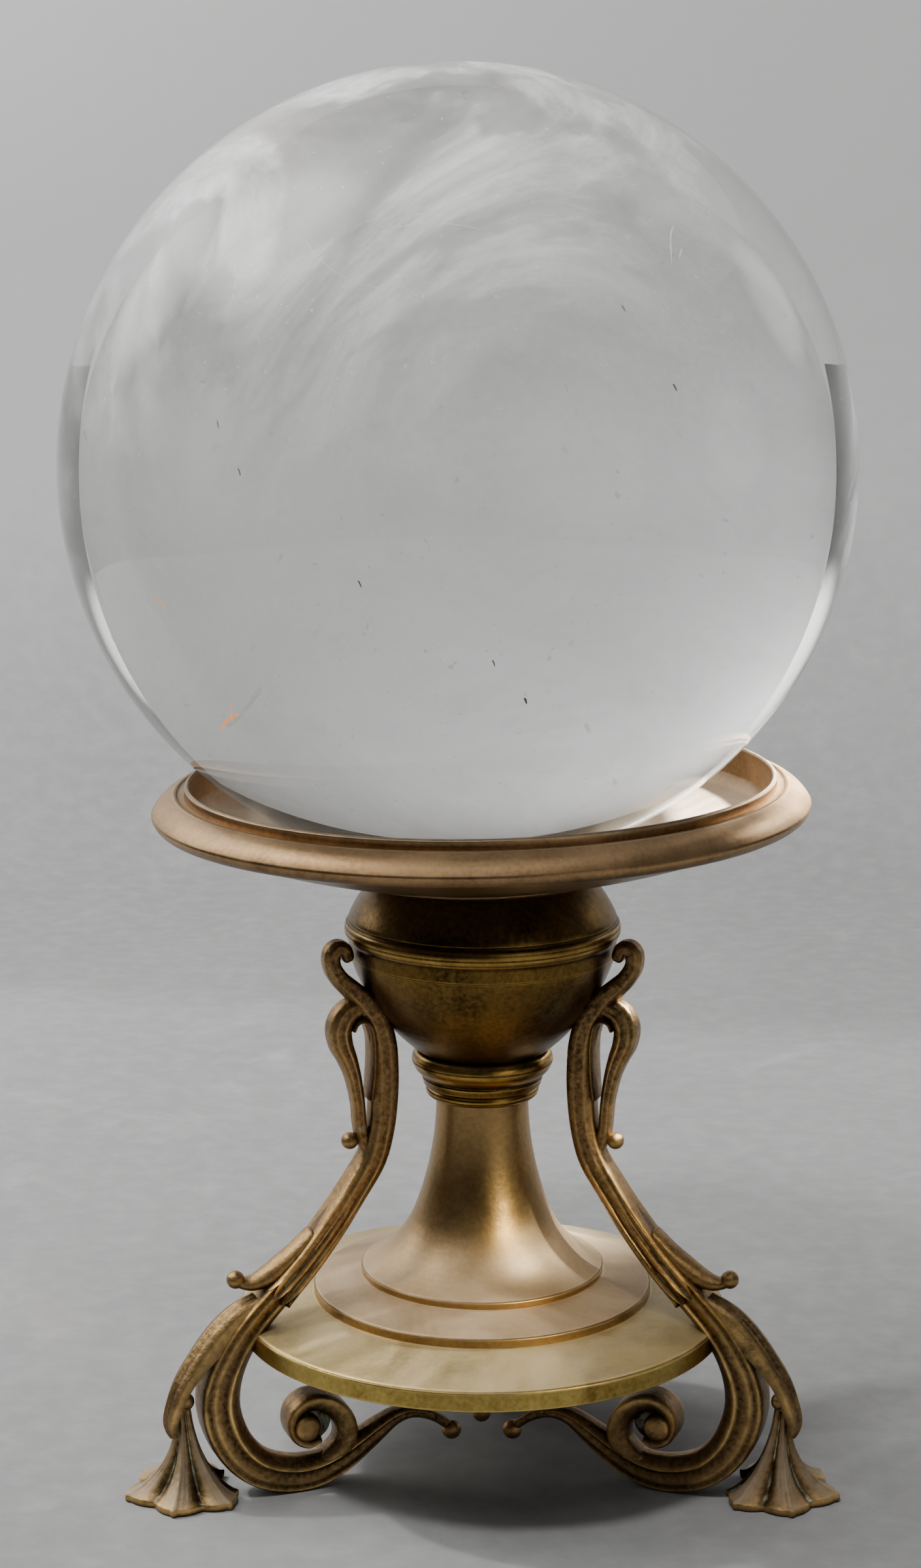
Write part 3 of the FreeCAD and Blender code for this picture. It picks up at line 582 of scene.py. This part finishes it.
def leaf_shell(shell):
    """The long outer leaf: a band that cups round the scroll, with a rib down its back and a rolled rim."""
    stations = smooth_path(LEAF, 9)
    rows = []
    steps = 22
    for i, (x, z, width, spread) in enumerate(stations):
        before, after = stations[max(i - 1, 0)], stations[min(i + 1, len(stations) - 1)]
        along = Vector((after[0] - before[0], after[1] - before[1])).normalized()
        out = Vector((-along.y, along.x)) * (1 if along.y < 0 else -1)
        row = []
        for side in (1, -1):
            for j in range(steps + 1):
                v = (-1 + 2 * j / steps) * side
                rim = abs(v) ** 5
                rib = 0.5 * math.exp(-(v / 0.12) ** 2) - 0.3 * math.exp(-((abs(v) - 0.5) / 0.13) ** 2)
                depth = side * (width / 2) * (1 - 0.45 * abs(v) ** 6) + (rib + rim * 0.3 if side > 0 else 0)
                at = out * (depth - 1.5 * v * v * spread / 11)
                # the inner face, cupped round the scroll, gets dark grime with painted shade; the outer face
                # little
                row.append((x + at.x, v * spread / 2, z + at.y,
                            0.7 * rim + (0.3 if side > 0 else 0) * (0.4 + rib), 0.1 if side > 0 else 0.9))
        rows.append(row)
    shell.grid(rows)


def acanthus(shell):
    """The thin leaf that sheathes the stroke above the scroll: fine ribs, ending in scallops."""
    stations = smooth_path([(41.5, 106.5, 8.6, 10.6), (47.5, 97.4, 9.3, 11.3), (54, 88.5, 9.9, 12.0),
                            (61.5, 79.3, 10.4, 12.6), (68.8, 71.7, 10.9, 13.1), (73.2, 67.2, 11.3, 13.5)], 16)
    loop = around(ROUND_SECTION)
    fine = []
    for (n, y, _, _), (n2, y2, _, _) in zip(loop, loop[1:] + loop[:1]):
        fine += [(n + (n2 - n) * k / 3, y + (y2 - y) * k / 3) for k in range(3)]
    rows = []
    count = len(stations) - 1
    for i in range(count + 1):
        t = i / count
        row = []
        for n, y in fine:
            scallop = abs(math.sin(n * math.pi * 1.75 + 0.4))
            at = min(1.0, t * (0.80 + 0.20 * scallop - 0.05 * n)) * count
            k = min(int(at), count - 1)
            x, z, width, thick = (a + (b - a) * (at - k) for a, b in zip(stations[k], stations[k + 1]))
            before, after = stations[max(k - 1, 0)], stations[min(k + 2, count)]
            along = Vector((after[0] - before[0], after[1] - before[1])).normalized()
            ribs = math.cos(n * math.pi * 3.5 + 0.8)
            swell = -1.0 + 0.75 * min(1, t * 3) + 0.34 * ribs * min(1, t * 2) + 0.6 * t ** 5
            square = 1.0 / max(abs(n) ** 3.2 + abs(y) ** 3.2, 1e-6) ** (1 / 3.2)
            across = n * square * (width / 2 + swell * 0.3)
            out = y * square * (thick / 2 + swell)
            if i == count:
                across, out = across * 0.86, out * 0.86
            row.append((x + along.y * across, out, z - along.x * across,
                        max(0.0, ribs) * 0.6 * t + 0.8 * t ** 6, max(0.0, -ribs) * (0.7 + 0.6 * t)))
        rows.append(row)
    shell.grid(rows)


def fan_foot(shell, ease):
    """The spreading foot: five petals that fall from a narrow neck and turn out flat on the floor.

    ease moves its lower end sideways, out of the leg's plane.
    """
    lobes = [(-112, 19.0), (-56, 20.5), (0, 22), (56, 20.5), (112, 19.0)]
    steps_round, steps_down, half = 190, 30, 146.0

    def petal(angle):
        """How far across a petal the angle falls (whole at its middle), and the reach there."""
        for (a, reach_a), (b, reach_b) in zip(lobes, lobes[1:]):
            if angle <= b and angle >= a:
                t = (angle - a) / (b - a)
                return t, reach_a + (reach_b - reach_a) * t
        over = (abs(angle) - lobes[-1][0]) / 56
        return over, lobes[-1][1] * (1 - 0.15 * over)

    rows = []
    for i in range(steps_down + 1):
        t = i / steps_down
        row = []
        for j in range(steps_round + 1):
            angle = -half + 2 * half * j / steps_round
            phase, reach = petal(angle)
            bulge = math.cos(2 * math.pi * phase)
            hump = (0.5 + 0.5 * bulge) ** 0.55
            line = math.exp(-((abs(phase - round(phase)) - 0.17) / 0.03) ** 2)
            edge = reach * (1 - 0.17 * (1 - hump) + 0.05 * math.exp(-((1 - bulge) / 0.05) ** 2))
            out = 2.7 + (edge - 2.7) * (0.08 * t + 0.92 * t ** 2.25)
            height = 2.7 + 31.3 * (1 - t) ** 1.3
            lift = (1.9 * hump - 1.1 - 0.28 * line) * (0.45 + 0.55 * t) * min(1.0, 3.5 * (1.06 - t))
            a = math.radians(angle)
            # the last number puts dust on the petals' humps and dark grime with painted shade in the creases
            # between them
            row.append((FOOT_AT + (FOOT_NECK - FOOT_AT) * (1 - t) + (out + lift * (1 - t)) * math.cos(a),
                        ease * t + (out + lift * (1 - t)) * math.sin(a) * (0.82 + 0.18 * t),
                        height + lift * t, 0.15 + 0.6 * t ** 14,
                        -1.3 * hump * min(1.0, 2.2 * t) + 1.7 * (1 - hump) ** 2 + 0.35 * line))
        rows.append(row)
    # the lip, the underside and the centre get dark grime with painted shade
    rim, lip, under = [], [], []
    for x, y, z, _, _ in rows[-1]:
        out = Vector((x - FOOT_AT, y - ease)).normalized()
        rim.append((x + out.x * 0.4, y + out.y * 0.4, z - 0.5, 1.0, 0.0))
        lip.append((x + out.x * 0.3, y + out.y * 0.3, 0.6, 0.3, 0.3))
        under.append((x - out.x * 0.3, y - out.y * 0.3, 0.0, 0.0, 0.6))
    centre = [(FOOT_AT - 2, ease, 0.0, 0.0, 0.6)] * (steps_round + 1)
    shell.grid(rows + [rim, lip, under, centre], wrap=False)


def leg_shell(ease):
    shell = Shell()
    sweep(shell, smooth_path(MAIN, 10), STROKE_SECTION)
    sweep(shell, smooth_path(LOOP, 10), STROKE_SECTION)
    # the hook, the scroll and the twig get extra dark grime with painted shade
    sweep(shell, smooth_path(HOOK, 8), ROUND_SECTION, grime_and_shade=0.3)
    sweep(shell, smooth_path(SCROLL, 10), BAND_SECTION, grime_and_shade=0.15)
    sweep(shell, smooth_path(CURL, 9), ROUND_SECTION)
    sweep(shell, smooth_path(TWIG, 8), ROUND_SECTION, grime_and_shade=0.4)
    leaf_shell(shell)
    acanthus(shell)
    fan_foot(shell, ease)
    # the green-grown web behind the eye, dark with grime and painted shade, the eye itself and the small
    # beads
    shell.ball(60.8, 0, 22.8, 7.0, (1, 0.66, 1), wear=0.0, grime_and_shade=1.7, steps=14)
    for side in (1, -1):
        rows = []
        for height, radius, wear, grime_and_shade in EYE:
            rows.append([(63.4 + radius * math.cos(a), side * height, 22.2 + radius * math.sin(a),
                          wear, grime_and_shade)
                         for a in (2 * math.pi * j / 40 for j in range(40))])
        shell.grid(rows)
    for x, z, radius, flat in ((10.9, 12.2, 3.3, 0.95), (85.7, 74.8, 3.0, 1.0), (46.3, 117.8, 2.8, 1.05)):
        shell.ball(x, 0, z, radius, (1, flat, 1))
    for side in (1, -1):
        shell.ball(103.6, side * 3.2, 36.4, 2.4, (1, 1, 1.15))
    return shell


# The lower ends of the side feet stand 7 mm out of their legs' planes, mostly towards the back.
for node, azimuth, ease in (("leg_left", 200, -7.0), ("leg_right", 340, 7.0), ("leg_back", 90, 0.0)):
    leg = leg_shell(ease)
    turn = Matrix.Rotation(math.radians(azimuth), 3, "Z")
    leg.points = [tuple(turn @ Vector(p)) for p in leg.points]
    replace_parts(leg.build("cast_" + node, leg_metal, "stand", "antique_bronze", sharp=50), node)

# ---------------------------------------------------------------- felt pad and ball
SHIFT, BALL_Z, BALL_R = -8.0, 336.0, 127.0  # the ball lies left of the stand's axis
PAD_DROP = 1.4  # from the ball's lowest point down to the underside of the pad
up = Vector((math.sin(LEAN), 0, math.cos(LEAN)))
pad_turn = (Matrix.Translation(Vector((SHIFT, 0, BALL_Z)) - up * (BALL_R + PAD_DROP))
            @ Matrix.Rotation(LEAN, 4, "Y"))
felt_disc = lathe("felt_disc", [(0, 0, 0), (17.9, 0, 0.4), (18, 0.6, 0.3), (17.7, 1.1, 0.4), (0, 1.08, 0)],
                  felt_cloth, "felt", body="pad", stands_for="felt_pad", move=pad_turn, segments=128)

sphere = Shell()
ROUND, RISE = 320, 200
sphere.grid([[(SHIFT + BALL_R * math.sin(t) * math.cos(a), BALL_R * math.sin(t) * math.sin(a),
               BALL_Z + BALL_R * math.cos(t), 0, 0)
              for a in (2 * math.pi * j / ROUND for j in range(ROUND))]
             for t in (math.pi * (i + 0.02) / (RISE + 0.04) for i in range(RISE + 1))])
glass_ball = sphere.build("glass_ball", glass, "ball", "crystal", sharp=60)
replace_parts(glass_ball, "crystal_ball")


FLAW_DEPTH = 3.0


def inside(azimuth, elevation):
    """A spot just under the ball's surface, by its angles from the front."""
    a, e, r = math.radians(azimuth), math.radians(elevation), BALL_R - FLAW_DEPTH
    return Vector((SHIFT + r * math.cos(e) * math.sin(a), -r * math.cos(e) * math.cos(a),
                   BALL_Z + r * math.sin(e)))


def thread(shell, ends, thick, bow):
    """A fine flaw between two spots inside the ball, tapering to both ends."""
    (a1, e1), (a2, e2) = ends
    rows, steps = [], 14
    for i in range(steps + 1):
        t = i / steps
        at = inside(a1 + (a2 - a1) * t, e1 + (e2 - e1) * t + bow * math.sin(math.pi * t))
        out = (at - Vector((SHIFT, 0, BALL_Z))).normalized()
        side = Vector((-out.y, out.x, 0)).normalized()
        rise = out.cross(side)
        size = thick * (0.12 + math.sin(math.pi * t) * (0.8 + 0.2 * math.sin(9 * t)))
        rows.append([(*(at + (side * math.cos(b) + rise * math.sin(b)) * size), 0, 0)
                     for b in (2 * math.pi * k / 8 for k in range(8))])
    shell.grid(rows)


# Each speck is a short thread about its azimuth and elevation, and its size is the last number.
SPECKS = ((25, 27, 0.32), (31, 16, 0.42), (10, -26, 0.45), (5, -20, 0.25), (-13, -9, 0.25), (-30, 5, 0.3),
          (-34, 11, 0.3))
FLAWS = (  # name, colour, strength of its painted glow, and threads of (two ends), thickness, bow
    ("brown_specks", (0.16, 0.08, 0.03), 0.0,
     [(((a - 0.25, e + 0.5), (a + 0.2, e - 0.5)), size, 0.2) for a, e, size in SPECKS]),
    ("pale_scratches_painted_glow", (0.85, 0.85, 0.80), 0.7,
     [(((40, 39), (36, 33)), 0.35, 1.0), (((39.5, 35.5), (38, 34)), 0.28, 0.0),
      (((-14, 38.5), (6, 38.5)), 0.12, 1.6), (((-27, 38), (-10, 30)), 0.08, -2.0)]),
    ("fire_flaw_painted_glow", (1.0, 0.26, 0.01), 1.3,
     [(((-43, -34), (-36, -30)), 0.42, 0.6), (((-39, -32), (-37, -28)), 0.28, 0.3),
      (((-47, -13), (-45, -15)), 0.25, 0.3)]),
)
for name, colour, painted_glow, threads in FLAWS:
    flaws = Shell()
    for ends, thick, bow in threads:
        thread(flaws, ends, thick, bow)
    flaws.build(name, plain_speck(name + "_paint", colour, painted_glow), "ball", "crystal")

# The fastening pieces keep their CAD shape and only get their metal.
for node in ("pan_screws", "tie_rod", "backing_plate", "bottom_nut", "knop_screws", "plate_screws"):
    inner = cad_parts[node]
    inner.data.materials.clear()
    inner.data.materials.append(steel_metal)


# ---------------------------------------------------------------- floor, backdrop, lights, camera
def paper():
    """Grey paper, paler where it rises behind the object: painted light on the backdrop."""
    n = Nodes("grey_paper")
    height = n.upward(n.place)
    fine = n.ramp(n.noise(90, 4, 0.6), 0.4, 0.7, 0, 0.15)
    floor = n.mix(n.ramp(n.noise(2.2, 5, 0.6), 0.3, 0.7), rgb(0.21, 0.21, 0.21), rgb(0.27, 0.27, 0.27))
    floor = n.mix(n.ramp(n.noise(7, 8, 0.7, distortion=2.0), 0.56, 0.7, 0, 0.4), floor, rgb(0.36, 0.36, 0.36))
    # painted light: the rising backdrop is made paler than the floor
    colour = n.mix(n.ramp(height, 0.0, 0.34), floor, rgb(0.46, 0.46, 0.46))
    return n.set(Base_Color=n.mix(fine, colour, rgb(0.5, 0.5, 0.5)), Roughness=0.85)


def studio():
    """A floor that sweeps up into a curved backdrop round the back of the object."""
    flat, bend, top = 0.8, 0.35, 1.45
    wall = flat + bend
    profile = [(0.0, 0.0), (0.45, 0.0), (flat, 0.0)]
    profile += [(flat + bend * math.sin(a), bend - bend * math.cos(a))
                for a in (math.pi / 24 * i for i in range(1, 13))]
    profile += [(wall, 0.7), (wall, top)]
    shell, turns = Shell(), 48
    wide = math.radians(51)  # the wall reaches this far to each side of straight back
    for j in range(turns + 1):
        a = -wide + 2 * wide * j / turns
        shell.points += [(r * math.sin(a), r * math.cos(a), z) for r, z in profile]
    width = len(profile)
    shell.faces = [(j * width + i, (j + 1) * width + i, (j + 1) * width + i + 1, j * width + i + 1)
                   for j in range(turns) for i in range(width - 1)]
    front = len(shell.points)
    pieces, stretch = 24, 1.5  # the floor in front of the wall, drawn out towards the camera
    edge = [(wall * math.sin(a), wall * math.cos(a)) for a in
            (wide + (2 * math.pi - 2 * wide) * k / pieces for k in range(pieces + 1))]
    shell.points += [(0, 0, 0)] + [(x, y * stretch if y < 0 else y, 0) for x, y in edge]
    shell.faces += [(front, front + k + 2, front + k + 1) for k in range(pieces)]
    mesh = bpy.data.meshes.new("backdrop")
    mesh.from_pydata(shell.points, [], shell.faces)
    for face in mesh.polygons:
        face.use_smooth = True
    mesh.materials.append(paper())
    thing = bpy.data.objects.new("backdrop", mesh)
    bpy.context.scene.collection.objects.link(thing)


def air(patches, base):
    """The room: dark, with soft-edged bright patches given by direction, spread in degrees and strength."""
    world = bpy.data.worlds.new("studio_air")
    bpy.context.scene.world = world
    world.use_nodes = True
    tree = world.node_tree
    back = tree.nodes["Background"]
    back.inputs[0].default_value = (1.0, 0.99, 0.97, 1)
    direction = tree.nodes.new("ShaderNodeTexCoord").outputs["Generated"]
    total = None
    for where, inner, outer, strength in patches:
        dot = tree.nodes.new("ShaderNodeVectorMath")
        dot.operation = "DOT_PRODUCT"
        dot.inputs[1].default_value = Vector(where).normalized()
        tree.links.new(direction, dot.inputs[0])
        ramp = tree.nodes.new("ShaderNodeMapRange")
        ramp.interpolation_type = "SMOOTHERSTEP"
        tree.links.new(dot.outputs["Value"], ramp.inputs[0])
        limits = (math.cos(math.radians(outer)), math.cos(math.radians(inner)),
                  base if total is None else 0.0, strength)
        for socket, value in zip(list(ramp.inputs)[1:5], limits):
            socket.default_value = value
        if total is not None:
            both = tree.nodes.new("ShaderNodeMath")
            tree.links.new(total, both.inputs[0])
            tree.links.new(ramp.outputs[0], both.inputs[1])
            total = both.outputs[0]
        else:
            total = ramp.outputs[0]
    tree.links.new(total, back.inputs[1])


def hang(light, direction, back="-Z", at=(0, 0, 0)):
    """Puts a lamp in the scene; its back axis follows the direction."""
    thing = bpy.data.objects.new(light.name, light)
    thing.location = at
    thing.rotation_euler = direction.to_track_quat(back, "Y").to_euler()
    bpy.context.scene.collection.objects.link(thing)
    return thing


def wash(at, aim, size, power):
    """A lamp that faces the backdrop, with its back to the object."""
    light = bpy.data.lights.new("wash", "AREA")
    light.shape = "RECTANGLE"
    light.size, light.size_y = size
    light.energy = power
    hang(light, Vector(aim) - Vector(at), at=at)


def spot(at, aim, cone, power, colour=(1, 1, 1)):
    """A narrow lamp for one place only."""
    light = bpy.data.lights.new("spot", "SPOT")
    light.spot_size, light.spot_blend = math.radians(cone), 0.9
    light.energy, light.color, light.shadow_soft_size = power, colour, 0.03
    hang(light, Vector(aim) - Vector(at), at=at)


def sun(toward, strength, wide):
    """Light for the dull surfaces only, so that it leaves no lamp shape in glass or polish."""
    light = bpy.data.lights.new("sun", "SUN")
    light.energy, light.angle = strength, math.radians(wide)
    thing = hang(light, Vector(toward), back="Z")
    thing.visible_glossy = thing.visible_transmission = False


studio()
wash((-0.63, 0.42, 1.00), (-0.62, 1.06, 0.66), (0.6, 0.25), 15.5)
sun((-0.62, 0.12, 0.78), 1.6, 3)  # from the key's side
sun((-0.22, -0.42, 0.88), 1.4, 8)  # from above the camera
spot((0.45, -0.10, 0.80), (0.079, 0.012, 0.228), 7.5, 700)  # the glare inside the dish, at the right
spot((0.62, 0.26, 0.70), (0.098, 0.006, 0.231), 7, 170)  # the rim's right side
spot((0.62, -0.72, 0.55), (0.014, -0.034, 0.083), 5.0, 46, (1.0, 0.86, 0.50))  # the foot of the stem
DARK_ROOM = 0.012
air([((-0.62, 0.10, 0.78), 2, 24, 6),     # the key, high on the left
     ((-0.79, 0.50, 0.44), 3, 18, 4.5),   # its spill behind the left shoulder
     ((0.90, 0.60, 0.42), 1, 12, 2.0),    # a small card opposite
     ((-0.15, -0.20, 0.98), 8, 46, 1.4),  # soft light from above
     ((1.0, -0.10, 0.12), 4, 14, 0.6),    # a pale wall far out at the right, and a dim one at the left
     ((-1.0, -0.10, 0.12), 4, 14, 0.1),
     ((0.55, -0.80, 0.18), 2, 26, 0.6)],  # a window to the right of the camera
    DARK_ROOM)

camera_data = bpy.data.cameras.new("camera")
camera_data.sensor_fit = "VERTICAL"
camera_data.sensor_height = 36.0
camera_data.lens = 75.03
camera_data.clip_start = 0.05
camera = bpy.data.objects.new("camera", camera_data)
camera.location = (-0.00723, -1.03903, 0.44949)
LOOKS_DOWN = 0.2048
camera.rotation_euler = (math.pi / 2 - LOOKS_DOWN, 0, 0)
bpy.context.scene.collection.objects.link(camera)
bpy.context.scene.camera = camera
